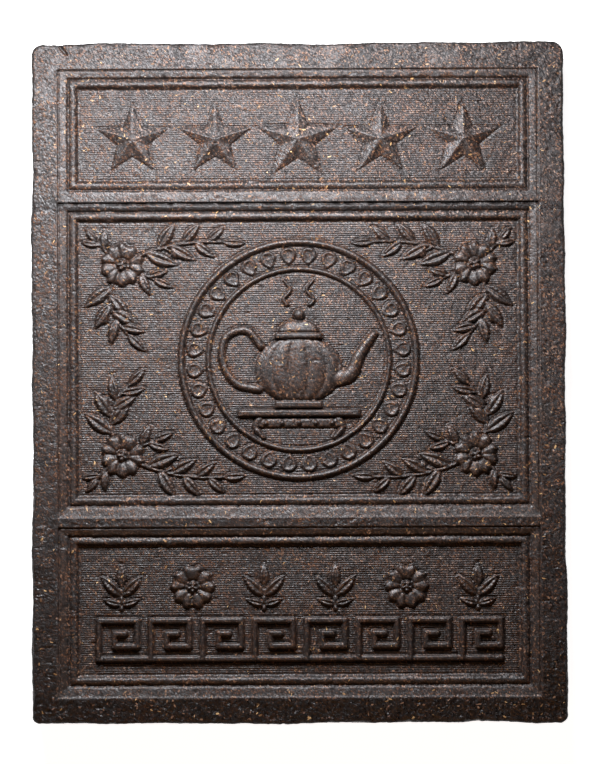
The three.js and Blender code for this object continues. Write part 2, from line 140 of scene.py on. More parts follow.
SEED = {"out": 0.6 * BLOSSOM_EYE["radius"], "radius": 0.7, "height": BLOSSOM_EYE["height"] + 0.2}

# ---- The bottom panel ----
UPPER_ROW_Y = -71.6
UPPER_ROW_SPACING = 25
UPPER_ROW = ("sprig", "blossom", "sprig", "sprig", "blossom", "sprig")
SPRIG_FOOT = -7.8
# Leaves of a sprig: (height of its base, degrees from upright, length).
SPRIG_LEAVES = ((-6.2, 78, 6.6), (-6.2, -78, 6.6), (-3, 50, 10), (-3, -50, 10), (-0.5, 0, 8.8))
FRET_Y = -96.8
FRET_REPEATS = 8
FRET_SPACING = 18.2
FRET_HEIGHT = 13.4
FRET_STROKE = {"width": 2.2, "height": 1.7}
FRET_PATH = ((0, 0), (0, 1), (0.74, 1), (0.74, 0.33), (0.3, 0.33), (0.3, 0.66), (0.5, 0.66))

# ---- The skin's grid ----
GRID_STEP = 0.48
ROWS_PER_RIB = 3
SIDE_ROWS = 28
ROUNDING_STEPS = 6
LOOP_MULTIPLE = 4  # the border is halved on the sides and halved again on the back

# ---- How the forms sit in each other ----
LAP = 0.35  # how much deeper an older form lies where a newer one covers it
MOAT = {"depth": 0.42, "width": 0.45}

# ---- Pressed tea dust ----
RASTER_STEP = 0.2
RASTER_MARGIN = 2  # how far the raster goes past the face
CHIPS = {"count": 60000, "length": 1.05, "spread": 0.45, "level": 0.05, "tilt": 0.07}
CHIP_BATCH = 5000
CHIP_WINDOW = np.arange(-7, 8)  # the raster's steps that one chip can cover
NOISE_REACH = 480  # how far from the middle the noise goes
CRACK = {"points": ((-84.6, 119.8), (-83.2, 118.0), (-81.4, 115.8)), "radius": 0.65, "depth": 1.4}


# ---- Noise ----

def blend(table, i, j, fu, fv):
    """The table's value at the shares fu and fv of the way on from its column i and row j."""
    low = table[j, i] * (1 - fu) + table[j, i + 1] * fu
    high = table[j + 1, i] * (1 - fu) + table[j + 1, i + 1] * fu
    return low * (1 - fv) + high * fv


def noise(x, y, cell, seed):
    """Smooth random values between -1 and 1, one wave to about two cells. The seed picks the pattern."""
    count = int(2 * NOISE_REACH / cell) + 3
    table = np.random.default_rng(seed).uniform(-1, 1, (count, count))
    u, v = (x + NOISE_REACH) / cell, (y + NOISE_REACH) / cell
    i, j = np.floor(u).astype(int), np.floor(v).astype(int)
    fu, fv = u - i, v - j
    return blend(table, i, j, fu * fu * (3 - 2 * fu), fv * fv * (3 - 2 * fv))


def rise(low, high, value):
    """0 below low, 1 above high and a smooth rise between them."""
    share = np.clip((value - low) / (high - low), 0, 1)
    return share * share * (3 - 2 * share)


def hump(value, middle, width):
    """1 at the middle, and a smooth fall to about 0 at two widths from it."""
    return np.exp(-(((value - middle) / width) ** 2))


# ---- The grid's columns and rows ----

def steps(start, end, step):
    """Even steps of about the given size from start up to, but without, end."""
    count = max(1, round(abs(end - start) / step))
    return list(np.linspace(start, end, count, endpoint=False))


def rounding_lines(half):
    """Lines over the rounding of the lower or left edge, without the last one."""
    angles = np.linspace(0, math.pi / 2, ROUNDING_STEPS, endpoint=False)
    return list(EDGE_ROUNDING * (1 - np.cos(angles)) - half)


def band_lines(edge):
    """Lines over the lower or left side of a panel's frame, from its outer edge to its floor."""
    insets = [inset for inset, _ in BAND_PROFILE[1:]]
    return [edge + line for a, b in zip(insets, insets[1:]) for line in steps(a, b, GRID_STEP)]


def grid_columns():
    """The x of every column of the grid, from left to right."""
    left = rounding_lines(WIDTH / 2)
    left += steps(EDGE_ROUNDING - WIDTH / 2, -PANEL_HALF_WIDTH - LIP / 2, GRID_STEP)
    left += band_lines(-PANEL_HALF_WIDTH)
    floor = PANEL_HALF_WIDTH - FLOOR_INSET
    count = round(2 * floor / GRID_STEP)
    count += -(2 * len(left) + count) % LOOP_MULTIPLE
    return np.array(left + list(np.linspace(-floor, floor, count + 1)) + [-x for x in reversed(left)])


def grid_rows():
    """The y of every row of the grid, from bottom to top, with whole ribs on the panels' floors."""
    rounding = rounding_lines(HEIGHT / 2)
    rows = list(rounding)
    previous = EDGE_ROUNDING - HEIGHT / 2
    for bottom, top in reversed(PANELS):
        band = band_lines(bottom)
        lifts = [FRAME_LIFT * rise(0, BAND_EDGE, y - bottom) for y in band]
        low, high = bottom + FLOOR_INSET + FRAME_LIFT, top - FLOOR_INSET + FRAME_LIFT
        ribs = round((high - low) / RIB_PITCH)
        rows += steps(previous, band[0], GRID_STEP) + [y + lift for y, lift in zip(band, lifts)]
        rows += list(np.linspace(low, high, ribs * ROWS_PER_RIB + 1))
        rows += [bottom + top - y + lift for y, lift in zip(reversed(band), reversed(lifts))]
        previous = rows.pop()
    last = HEIGHT / 2 - EDGE_ROUNDING
    count = round((last - previous) / GRID_STEP)
    count += -(len(rows) + count + len(rounding)) % LOOP_MULTIPLE
    return np.array(rows + list(np.linspace(previous, last, count + 1)) + [-y for y in reversed(rounding)])


# ---- The relief on the panels' floors ----

class Relief:
    """Heights over the panels' floor on the grid, and how smooth the mould left each place."""

    def __init__(self, columns, rows):
        self.columns, self.rows = columns, rows
        self.height = np.zeros((len(rows), len(columns)))
        self.gloss = np.zeros_like(self.height)

    def window(self, x0, x1, y0, y1, margin=1.6):
        """The part of the grid round a box, with its x and y."""
        i0, i1 = np.searchsorted(self.columns, (x0 - margin, x1 + margin))
        j0, j1 = np.searchsorted(self.rows, (y0 - margin, y1 + margin))
        x, y = np.meshgrid(self.columns[i0:i1], self.rows[j0:j1])
        return (slice(j0, j1), slice(i0, i1)), x, y

    def turned(self, x, y, angle, reach):
        """The part of the grid round a place, with how far it lies along an angle and across it."""
        where, gx, gy = self.window(x - reach, x + reach, y - reach, y + reach)
        u = (gx - x) * math.cos(angle) + (gy - y) * math.sin(angle)
        v = (gy - y) * math.cos(angle) - (gx - x) * math.sin(angle)
        return where, u, v

    def press(self, where, height, gap, gloss=0.55):
        """Raises a form where gap is 0, and presses a narrow moat where gap, in mm, is a little more."""
        old = self.height[where]
        inside = gap <= 0
        moat = old - MOAT["depth"] * hump(gap, 0, MOAT["width"])
        self.height[where] = np.where(inside, np.maximum(old - LAP, height), moat)
        smooth = gloss * rise(0, 1.2, height)
        self.gloss[where] = np.where(inside, smooth, self.gloss[where])

    def dome(self, x, y, half_width, half_height, height, angle=0.0):
        """Half a ball squashed to the given half sizes."""
        where, u, v = self.turned(x, y, angle, max(half_width, half_height))
        q = np.hypot(u / half_width, v / half_height)
        body = height * np.sqrt(np.clip(1 - q * q, 0, 1))
        self.press(where, body, (q - 1) * min(half_width, half_height))

    def bar(self, x, y, half_width, half_height, height):
        """A level bar with sloped and rounded sides."""
        where, gx, gy = self.window(x - half_width, x + half_width, y - half_height, y + half_height)
        dx, dy = np.abs(gx - x) - half_width, np.abs(gy - y) - half_height
        gap = np.where((dx > 0) & (dy > 0), np.hypot(dx, dy), np.maximum(dx, dy))
        shoulder = np.clip(1 + gap / (0.6 * half_height), 0, 1)
        self.press(where, height * np.sqrt(1 - shoulder ** 2), gap)

    def cane(self, points, start, end, height, square=False):
        """A raised line along points, which tapers from one radius to another."""
        line = np.array(points, dtype=float)
        reach = max(start, end)
        (x0, y0), (x1, y1) = line.min(axis=0) - reach, line.max(axis=0) + reach
        where, gx, gy = self.window(x0, x1, y0, y1)
        lengths = np.hypot(*np.diff(line, axis=0).T)
        walked = np.concatenate([[0], np.cumsum(lengths)]) / lengths.sum()
        nearest = np.full(gx.shape, np.inf)
        gap = np.full(gx.shape, np.inf)
        for k, (a, b) in enumerate(zip(line, line[1:])):
            along = np.clip(((gx - a[0]) * (b - a)[0] + (gy - a[1]) * (b - a)[1]) / lengths[k] ** 2, 0, 1)
            radius = start + (end - start) * (walked[k] + along * (walked[k + 1] - walked[k]))
            dx, dy = np.abs(gx - a[0] - along * (b - a)[0]), np.abs(gy - a[1] - along * (b - a)[1])
            away = (dx ** 4 + dy ** 4) ** 0.25 if square else np.hypot(dx, dy)
            nearest = np.minimum(nearest, away / radius)
            gap = np.minimum(gap, away - radius)
        fullness = 4 if square else 2
        self.press(where, height * np.sqrt(np.clip(1 - nearest ** fullness, 0, 1)), gap)

    def ring(self, y, radius, width, height):
        """A round moulding about the middle of the brick's width."""
        reach = radius + width
        where, gx, gy = self.window(-reach, reach, y - reach, y + reach)
        q = np.abs(np.hypot(gx, gy - y) - radius) / (width / 2)
        self.press(where, height * np.clip(1 - q * q, 0, 1) ** 0.6, (q - 1) * width / 2)

    def leaf(self, x, y, angle, length, curl=0.0):
        """A leaf from its base, with two crowned halves, a sunk midrib and faint side veins."""
        where, u, v = self.turned(x, y, angle, length)
        share = np.clip(u / length, 0, 1)
        v = v - curl * length * share ** 2
        half = np.maximum(0.18, length * LEAF_SLIMNESS / 2 * np.sin(math.pi * share ** 0.85) ** 0.9)
        q = np.abs(v) / half
        crest = LEAF_HEIGHT * (0.45 + 0.55 * np.sin(math.pi * share))
        fold = 0.5 + 0.5 * np.sin(math.pi / 2 * np.clip(q / 0.5, 0, 1))
        body = crest * fold * np.sqrt(1 - np.clip((q - 0.4) / 0.6, 0, 1) ** 2)
        veins = 0.1 * np.cos(2 * math.pi * (u - 0.9 * np.abs(v)) / 1.6) * rise(0.15, 0.5, q)
        along = np.maximum(-u, u - length)
        self.press(where, body + veins, np.maximum((q - 1) * half, along), gloss=0.65)

    def petal(self, x, y, angle, length, width, height, notch=0.0, hollow=0.0):
        """A petal from its narrow base: a full outer end, with or without a notch, and a raised border."""
        where, u, v = self.turned(x, y, angle, length)
        share = np.clip(u / length, 0, 1)
        half = np.maximum(0.15, width / 2 * np.sin(math.pi * share ** 1.35) ** 0.6)
        tip = length * (1 - notch * hump(v, 0, 0.22 * width))
        gap = np.maximum(np.abs(v) - half, np.maximum(-u, u - tip))
        crown = np.sqrt(1 - np.clip(1 + gap / (0.3 * width), 0, 1) ** 2)
        dish = hollow * rise(0.12 * width, 0.3 * width, -gap)
        crease = 0.3 * hump(v, 0, 0.4) * rise(0, 0.2, share)
        fan = 0.07 * np.cos(26 * np.arctan2(v, u + 0.5 * length)) * rise(0.3, 0.8, share)
        body = height * (0.6 + 0.4 * share) * crown * (1 - dish) + (fan - crease) * (notch > 0)
        self.press(where, body, gap, gloss=0.7)

    def star(self, x, y, radius):
        """Five arms, each with a ridge down it, and a valley between each two."""
        where, u, v = self.turned(x, y, 0, radius)
        fifth = 2 * math.pi / 5
        turn = np.abs((np.arctan2(v, u) - math.pi / 2 + fifth / 2) % fifth - fifth / 2)
        tip = np.array([radius, 0.0])
        waist = radius * STAR_WAIST * np.array([math.cos(fifth / 2), math.sin(fifth / 2)])
        normal = np.array([waist[1] - tip[1], tip[0] - waist[0]])
        normal /= np.hypot(*normal)
        edge = normal @ tip
        reach = np.hypot(u, v) * (normal[0] * np.cos(turn) + normal[1] * np.sin(turn))
        self.press(where, STAR_HEIGHT * np.clip(1 - reach / edge, 0, 1) + 0.2, reach - edge, gloss=0.4)

    def melon(self, x, y, half_width, half_height, height):
        """A round pot's body with lobes that run from its foot to its collar."""
        where, gx, gy = self.window(x - half_width, x + half_width, y - half_height, y + half_height)
        across, up = (gx - x) / half_width, (gy - y) / half_height
        reach = np.sqrt(np.clip(1 - np.clip(up, -1, 1) ** 2, 1e-4, 1))
        share = np.clip(across / reach, -1, 1)
        phase = (np.arcsin(share) / math.pi + 0.5) * POT_LOBES
        lobe = 1 - POT_GROOVE * (1 - np.abs(np.sin(math.pi * phase)) ** 0.45)
        body = height * np.sqrt(np.clip(1 - share ** 2, 0, 1)) * np.sqrt(reach) * lobe
        self.press(where, body, (np.hypot(across, up) - 1) * half_height, gloss=0.7)


def smooth_curve(points, count):
    """Points along the centripetal Catmull-Rom curve through a few points, as the solid uses."""
    p = np.array(points, dtype=float)
    p = np.vstack([2 * p[0] - p[1], p, 2 * p[-1] - p[-2]])
    found = []
    for p0, p1, p2, p3 in zip(p, p[1:], p[2:], p[3:]):
        d0, d1, d2 = (np.hypot(*(b - a)) ** 0.5 for a, b in ((p0, p1), (p1, p2), (p2, p3)))
        m1 = ((p1 - p0) / d0 - (p2 - p0) / (d0 + d1) + (p2 - p1) / d1) * d1
        m2 = ((p2 - p1) / d1 - (p3 - p1) / (d1 + d2) + (p3 - p2) / d2) * d1
        for t in np.linspace(0, 1, count, endpoint=False):
            found.append((2 * t**3 - 3 * t**2 + 1) * p1 + (t**3 - 2 * t**2 + t) * m1
                         + (3 * t**2 - 2 * t**3) * p2 + (t**3 - t**2) * m2)
    return found + [p[-2]]


def polar(x, y, away, angle):
    """The place that lies so far away from x and y at an angle."""
    return x + away * math.cos(angle), y + away * math.sin(angle)


def press_part(form, part):
    """Presses a form with the sizes of a part on the medallion's middle line."""
    y, *sizes = part
    form(0, MEDALLION_Y + y, *sizes)


def add_stars(relief):
    for i in (-2, -1, 0, 1, 2):
        relief.star(i * STAR_SPACING, STAR_ROW_Y, STAR_RADIUS if i else MIDDLE_STAR_RADIUS)


def add_medallion(relief):
    for ring in (OUTER_RING, INNER_RING):
        relief.ring(MEDALLION_Y, **ring)
    for i in range(PETAL_COUNT):
        angle = 2 * math.pi * (i + 0.5) / PETAL_COUNT
        base = polar(0, MEDALLION_Y, PETAL["inner"], angle)
        relief.petal(*base, angle, PETAL["length"], PETAL["width"], PETAL["height"], hollow=0.5)


def add_teapot(relief):
    for tube in (SPOUT, HANDLE):
        line = smooth_curve([(x, y + MEDALLION_Y) for x, y in tube["points"]], 6)
        relief.cane(line, tube["start"], tube["end"], tube["height"])
    press_part(relief.dome, LID)
    press_part(relief.dome, KNOB)
    press_part(relief.melon, POT)
    press_part(relief.bar, POT_FOOT)
    press_part(relief.bar, POT_COLLAR)
    for side in (-1, 1):
        share = np.linspace(0, 1, 24)
        x = side * (STEAM["x"] + STEAM["sway"] * np.sin(2 * math.pi * STEAM["waves"] * share))
        y = MEDALLION_Y + STEAM["foot"] + share * (STEAM["top"] - STEAM["foot"])
        relief.cane(np.stack([x, y], axis=1), STEAM["radius"], STEAM["radius"] / 2, STEAM["height"])


def add_table(relief):
    for side in (-1, 1):
        x, top, foot = side * TABLE_LEG["x"], TABLE_LEG["top"], TABLE_LEG["foot"]
        bends = [(x, top), (x + side * 1.6, (top + foot) / 2), (x - side, foot)]
        leg = smooth_curve([(a, b + MEDALLION_Y) for a, b in bends], 5)
        relief.cane(leg, TABLE_LEG["radius"], TABLE_LEG["radius"] * 0.7, TABLE_LEG["height"])
    press_part(relief.bar, TABLE_APRON)
    press_part(relief.bar, TABLE_TOP)
    count, radius = APRON_BOSSES["count"], APRON_BOSSES["radius"]
    apron_y, apron_half_width, _, _ = TABLE_APRON
    for i in range(count):
        x = ((i + 0.5) / count - 0.5) * 2 * (apron_half_width - 1)
        relief.dome(x, MEDALLION_Y + apron_y, radius, radius, APRON_BOSSES["height"])


def add_blossom(relief, x, y, turn=0.0):
    """Notched petals round an eye with a ring of seeds."""
    for i in range(BLOSSOM_PETALS):
        angle = turn + 2 * math.pi * i / BLOSSOM_PETALS
        relief.petal(*polar(x, y, 0.12 * BLOSSOM_RADIUS, angle), angle,
                     0.9 * BLOSSOM_RADIUS, BLOSSOM_RADIUS, BLOSSOM_HEIGHT, notch=0.16)
    relief.dome(x, y, BLOSSOM_EYE["radius"], BLOSSOM_EYE["radius"], BLOSSOM_EYE["height"])
    for i in range(BLOSSOM_PETALS):
        angle = turn + 2 * math.pi * (i + 0.5) / BLOSSOM_PETALS
        relief.dome(*polar(x, y, SEED["out"], angle), SEED["radius"], SEED["radius"], SEED["height"])


def add_spray(relief, sx, sy):
    """One corner's boughs with their leaves and buds, and the blossom over their root."""
    def corner(point):
        return np.array([sx * point[0], MEDALLION_Y + sy * point[1]])

    for number, (bend, end, leaves, (longest, shortest), (first, last)) in enumerate(BOUGHS):
        root, bend, end = corner(SPRAY_ROOT), corner(bend), corner(end)

        def place(along):
            point = (1 - along) ** 2 * root + 2 * along * (1 - along) * bend + along ** 2 * end
            way = 2 * (1 - along) * (bend - root) + 2 * along * (end - bend)
            return point, math.atan2(way[1], way[0])

        line = [place(t)[0] for t in np.linspace(0, 1, BOUGH_STEPS)]
        relief.cane(line, STEM_RADIUS, 0.6 * STEM_RADIUS, 0.8 * LEAF_HEIGHT)
        if number in BUD_PLACES:
            point, way = place(BUD_PLACES[number])
            angle = way + sx * sy * LEAF_SPREAD
            tip = polar(*point, BUD["stalk"], angle)
            relief.cane([point, tip], 0.7 * STEM_RADIUS, 0.6 * STEM_RADIUS, 0.7 * LEAF_HEIGHT)
            relief.dome(*tip, BUD["length"] / 2, BUD["width"] / 2, BUD["height"], angle)
        for i in range(leaves):
            share = i / (leaves - 1)
            side = (-1 if i % 2 else 1) * sx * sy
            point, way = place(first + share * (last - first))
            length = longest + share * (shortest - longest)
            relief.leaf(*point, way + side * LEAF_SPREAD, length, -side * LEAF_CURL)
        point, way = place(1)
        relief.leaf(*point, way, shortest)
    add_blossom(relief, *corner(SPRAY_ROOT))


def add_sprays(relief):
    for sx, sy in ((1, 1), (-1, 1), (-1, -1), (1, -1)):
        add_spray(relief, sx, sy)


def add_upper_row(relief):
    for i, kind in enumerate(UPPER_ROW):
        x = (i - (len(UPPER_ROW) - 1) / 2) * UPPER_ROW_SPACING
        if kind == "blossom":
            add_blossom(relief, x, UPPER_ROW_Y, math.pi / 2)
            continue
        stem = [(x, UPPER_ROW_Y + SPRIG_FOOT), (x, UPPER_ROW_Y)]
        relief.cane(stem, STEM_RADIUS, STEM_RADIUS, 0.8 * LEAF_HEIGHT)
        for base, lean, length in SPRIG_LEAVES:
            curl = -LEAF_CURL * np.sign(lean)
            relief.leaf(x, UPPER_ROW_Y + base, math.radians(90 + lean), length, curl)


def add_fret(relief):
    """Hooks in a row, standing on a line that runs under all of them."""
    start = (1 - FRET_PATH[2][0] - FRET_REPEATS) * FRET_SPACING / 2
    radius = FRET_STROKE["width"] / 2
    lines = [[(start, FRET_Y), (-start, FRET_Y)]]
    for i in range(FRET_REPEATS):
        lines.append([(start + (i + x) * FRET_SPACING, FRET_Y + y * FRET_HEIGHT) for x, y in FRET_PATH])
    for line in lines:
        relief.cane(line, radius, radius, FRET_STROKE["height"], square=True)


def panel_inset(x, y, panel):
    """How far each place lies inside a panel's outer edge; negative outside it."""
    bottom, top = panel
    half, from_middle = (top - bottom) / 2, y - (top + bottom) / 2
    lift = FRAME_LIFT * rise(0, BAND_EDGE, half - np.abs(from_middle))
    return np.minimum(PANEL_HALF_WIDTH - np.abs(x), half - np.abs(from_middle - lift))


def floor_ribs(x, y):
    """The heights of the hairline ribs on the panels' floors, less where they are worn."""
    ribs = np.zeros_like(x)
    for panel in PANELS:
        floor = panel[1] - panel[0] - 2 * FLOOR_INSET
        phase = (y - panel[0] - FLOOR_INSET - FRAME_LIFT) * round(floor / RIB_PITCH) / floor
        on_floor = rise(FLOOR_INSET + 0.1, FLOOR_INSET + 0.9, panel_inset(x, y, panel))
        ribs += RIB_HEIGHT * (0.5 + 0.5 * np.cos(2 * math.pi * phase)) * on_floor
    worn = 0.72 + 0.3 * noise(x, y, 9, 11) + 0.25 * noise(x, y, 2.5, 12)
    return ribs * np.clip(worn, 0.15, 1.1)


def moulded_face(columns, rows):
    """Depths under the rim all over the face, how smooth each place is and how much painted shade darkens
    it.
    Smoothness is below 0 where the dust shines deeper."""
    x, y = np.meshgrid(columns, rows)
    inset = np.max([panel_inset(x, y, panel) for panel in PANELS], axis=0)
    relief = Relief(columns, rows)
    relief.height += floor_ribs(x, y)
    relief.gloss += GLOSS["ribs"] * (inset > FLOOR_INSET)
    for add_forms in (add_stars, add_medallion, add_teapot, add_table, add_sprays, add_upper_row, add_fret):
        add_forms(relief)

    on_floor = rise(FLOOR_INSET - 0.4, FLOOR_INSET, inset)
    past_band = rise(BAND_EDGE, BAND_EDGE + 0.4, inset)
    ragged = 0.16 * noise(x, y, 1.1, 18) * rise(BAND_EDGE - 0.8, BAND_EDGE, inset) * (1 - on_floor)
    depth = np.interp(inset + ragged, *zip(*BAND_PROFILE)) - relief.height * on_floor
    crumbs = rise(0.25, 0.8, noise(x, y, 7, 19)) * past_band * (1 - on_floor)
    depth -= np.clip(depth - 1.7, 0, 1) * crumbs * (0.75 + 0.5 * noise(x, y, 1.0, 20))
    over_band = np.clip((inset - 0.4) / (BAND_EDGE - 0.4), 0, 1) * (1 - past_band)
    depth -= STAR_BAND_RISE * over_band * (y > STAR_PANEL[0])
    foot = np.min([np.abs(y - bottom) for bottom, _ in PANELS], axis=0)
    score = hump(inset, 0.12, 0.22) * rise(0.8, 1.6, foot)
    depth += SCORE_DEPTH * score * np.clip(0.9 + 0.7 * noise(x, y, 24, 47), 0.25, 1.3)
    seam = hump(y, SEAM["y"], SEAM["half_width"]) * rise(-0.8, 0.2, inset)
    depth += SEAM["depth"] * seam * (1 + 0.5 * noise(x, y, 1.6, 16))

    band = rise(0, 0.4, inset) * (1 - rise(BAND_EDGE - 0.3, BAND_EDGE + 0.1, inset))
    bead = hump(inset, BEAD_MIDDLE, 0.85) * rise(-0.9, 0.1, noise(x, y, 5, 17)) * (1 - crumbs)
    lip = hump(inset, -0.25, 0.35) * rise(-0.7, 0.1, noise(x, y, 3, 15))
    rim = (1 - rise(-0.4, 0, inset)) * rise(-0.15, 0.45, noise(x, y, 6, 13) + 0.5 * noise(x, y, 2, 14))
    rim *= 0.15 + 0.85 * rise(-HEIGHT / 2, HEIGHT / 3, y)
    rubbed = [GLOSS["band"] * band, GLOSS["bead"] * bead, GLOSS["lip"] * lip, GLOSS["rim"] * rim]
    gloss = np.maximum.reduce(rubbed + [relief.gloss * on_floor])
    # Painted shade in the seam's groove and on the band just under it, where the mould also rubbed less.
    below = SEAM["y"] - y
    strip = rise(-0.5, 0, below) * (1 - rise(2.2, 3, below)) * (inset < BAND_EDGE)
    seam = np.maximum(strip, seam)
    # Painted shade over the foot and the rims beside the lowest panel, darker towards the bottom, where the
    # dust also shines deeper.
    above_foot = rise(-1, 4, y - LOWER_PANEL[0])
    gloss *= (1 - 0.9 * seam) * (1 - 0.25 * (y > STAR_PANEL[0])) * above_foot
    low_rim = (1 - rise(-0.5, 0.2, inset)) * (1 - rise(LOWER_PANEL[0], 0, y))
    low = np.maximum(1 - above_foot, LOW_RIM_SHARE * low_rim) * (1 - rise(-1.2, -0.5, inset))
    return depth, gloss - low * (gloss < 0.1), PAINTED_FOOT_SHADE * low + SEAM["shade"] * seam


# ---- Pressed dust ----

def pressed_chips(width, height, seed):
    """Chips pressed flat over each other, as rasters of their surface and of their tone from 0 to 1."""
    rng = np.random.default_rng(seed)
    shape = (int(height / RASTER_STEP) + 2, int(width / RASTER_STEP) + 2)
    surface, tone = np.zeros(shape), np.full(shape, 0.4)
    count = int(CHIPS["count"] * width * height / (WIDTH * HEIGHT))
    for start in range(0, count, CHIP_BATCH):
        some = min(CHIP_BATCH, count - start)
        cx, cy = rng.uniform(0, width, some), rng.uniform(0, height, some)
        length = CHIPS["length"] * rng.lognormal(0, CHIPS["spread"], some) / 2
        broad = length * rng.uniform(0.25, 0.7, some)
        angle = rng.uniform(0, math.pi, some)
        level, lean_u, lean_v = rng.normal(0, CHIPS["level"], some), *rng.normal(0, CHIPS["tilt"], (2, some))
        drawn = (cx, cy, length, broad, angle, level, lean_u, lean_v, rng.beta(2, 3, some))
        cx, cy, length, broad, angle, level, lean_u, lean_v, shade = (d[:, None, None] for d in drawn)
        column = np.rint(cx / RASTER_STEP).astype(int) + CHIP_WINDOW
        row = np.rint(cy / RASTER_STEP).astype(int) + CHIP_WINDOW[:, None]
        dx, dy = column * RASTER_STEP - cx, row * RASTER_STEP - cy
        u, v = dx * np.cos(angle) + dy * np.sin(angle), dy * np.cos(angle) - dx * np.sin(angle)
        inside = (u / length) ** 2 + (v / broad) ** 2 < 1
        inside &= (column >= 0) & (column < shape[1]) & (row >= 0) & (row < shape[0])
        column, row, shade = (np.broadcast_to(part, u.shape)[inside] for part in (column, row, shade))
        surface[row, column] = (level + lean_u * u + lean_v * v)[inside]
        tone[row, column] = shade
    return surface, tone


def sample(raster, x, y):
    """The raster's value at x and y, in mm from its corner, smoothly between its points."""
    u = np.clip(x / RASTER_STEP, 0, raster.shape[1] - 1.001)
    v = np.clip(y / RASTER_STEP, 0, raster.shape[0] - 1.001)
    i, j = u.astype(int), v.astype(int)
    return blend(raster, i, j, u - i, v - j)


FACE_CHIPS = pressed_chips(WIDTH + 2 * RASTER_MARGIN, HEIGHT + 2 * RASTER_MARGIN, 21)


def grain(x, y, seed):
    """The dust's own unevenness over a pressed face, and its tone."""
    across, up = x + WIDTH / 2 + RASTER_MARGIN, y + HEIGHT / 2 + RASTER_MARGIN
    surface, tone = (sample(raster, across, up) for raster in FACE_CHIPS)
    uneven = 0.1 * noise(x, y, 9, seed) + 0.07 * noise(x, y, 2.6, seed + 1)
    uneven += 0.03 * noise(x, y, 0.9, seed + 2)
    pits = 0.35 * rise(0.72, 0.95, noise(x, y, 1.3, seed + 3))
    return surface + uneven - pits, tone


def side_grain(x, y, z):
    """The crumbly unevenness of the sides, outwards."""
    def crossed(cell_one, cell_two, seed):
        return noise(x + y, z, cell_one, seed) + noise(x - y, z, cell_two, seed + 1)

    uneven = 0.12 * crossed(6, 5, 31) + 0.07 * crossed(2, 1.7, 33) + 0.06 * crossed(0.8, 0.7, 35)
    pits = 0.5 * rise(0.9, 1.4, crossed(1.8, 1.6, 37))
    pressed_lines = 0.05 * noise(np.zeros_like(z), z, 0.9, 39)
    return uneven + pressed_lines - pits


# ---- The block's outline ----

def round_corners(x, y, half_width, half_height):
    """Bends a rectangle's grid into rounded corners. Gives x, y, the distance in from the outline
    and the way out to it."""
    radius = np.where(y > 0, TOP_CORNER_RADIUS, BOTTOM_CORNER_RADIUS).astype(float)
    side_x, side_y = np.sign(x), np.sign(y)
    a = np.clip((np.abs(x) - half_width + radius) / radius, 0, 1)
    b = np.clip((np.abs(y) - half_height + radius) / radius, 0, 1)
    in_corner = (a > 0) & (b > 0)
    rx, ry = a * np.sqrt(1 - b * b / 2), b * np.sqrt(1 - a * a / 2)
    new_x = np.where(in_corner, side_x * (half_width - radius + radius * rx), x)
    new_y = np.where(in_corner, side_y * (half_height - radius + radius * ry), y)
    away = np.maximum(np.hypot(rx, ry), 1e-6)
    gap_x, gap_y = half_width - np.abs(x), half_height - np.abs(y)
    gap = np.where(in_corner, radius * (1 - away), np.minimum(gap_x, gap_y))
    out_x = np.where(in_corner, side_x * rx / away, side_x * (gap_x <= gap_y))
    out_y = np.where(in_corner, side_y * ry / away, side_y * (gap_x > gap_y))
    return new_x, new_y, gap, out_x, out_y


def wave(share):
    """The pressed edge's waves at a share of the way round from the lower right corner."""
    around = 2 * math.pi * share
    return sum(high * np.sin(turns * around + phase) for high, turns, phase in EDGE_WAVES)


def wavy(x, y):
    """Moves places near the outline with its waves."""
    w, h, total = WIDTH / 2, HEIGHT / 2, 2 * (WIDTH + HEIGHT)
    near_x, near_y = 1 - rise(0, WAVE_REACH, w - np.abs(x)), 1 - rise(0, WAVE_REACH, h - np.abs(y))
    right, left = wave((y + h) / total), -wave((3 * h + 2 * w - y) / total)
    top, bottom = wave((2 * h + w - x) / total), -wave((4 * h + 3 * w + x) / total)
    return x + near_x * np.where(x > 0, right, left), y + near_y * np.where(y > 0, top, bottom)


# ---- The skin ----

def border(columns, rows, first=0):
    """Indices round a grid's border, anticlockwise from its lower left corner."""
    index = np.arange(columns * rows).reshape(rows, columns) + first
    return np.concatenate([index[0, :-1], index[:-1, -1], index[-1, :0:-1], index[:0:-1, 0]])


def grid_faces(columns, rows, first=0):
    """Quads of a grid, facing +Z."""
    index = np.arange(columns * rows).reshape(rows, columns) + first
    corners = index[:-1, :-1], index[:-1, 1:], index[1:, 1:], index[1:, :-1]
    return np.stack([c.ravel() for c in corners], axis=1)


def halving_faces(fine, coarse):
    """Triangles from a loop down to one with half as many points."""
    a, b, c = fine[0::2], fine[1::2], np.roll(fine, -2)[0::2]
    d, e = coarse, np.roll(coarse, -1)
    return np.concatenate([np.stack(t, axis=1) for t in ((a, d, b), (d, e, b), (b, e, c))])


def wall_faces(upper, lower):
    """Quads between two loops of equally many points."""
    return np.stack([upper, lower, np.roll(lower, -1), np.roll(upper, -1)], axis=1)


def face_places(columns, rows):
    """Every place of the moulded face before the waves of the edge: x, y, z, tone and gloss."""
    depth, gloss, shade = moulded_face(columns, rows)
    x, y, gap, out_x, out_y = round_corners(*np.meshgrid(columns, rows), WIDTH / 2, HEIGHT / 2)
    lean = np.clip(1 - gap / EDGE_ROUNDING, 0, 1)
    up = np.sqrt(1 - lean ** 2)
    bumps, tone = grain(x, y, 41)
    base = THICKNESS - EDGE_ROUNDING * (1 - up) - depth
    chipped = 0.8 * rise(0.15, 0.9, noise(x, y, 4.5, 45)) * np.clip(1 - gap / 2.4, 0, 1) ** 2
    z = base + up * bumps * (1 - 0.7 * gloss) - chipped - crack_depth(x, y)
    outward = lean * side_grain(x, y, base)
    # The face is made darker over its rounded edge, and takes the painted shade of the foot, the low rims
    # and the seam.
    tone = tone - EDGE_DARKNESS * lean - shade
    return x + out_x * outward, y + out_y * outward, z, tone, gloss * (1 - lean)


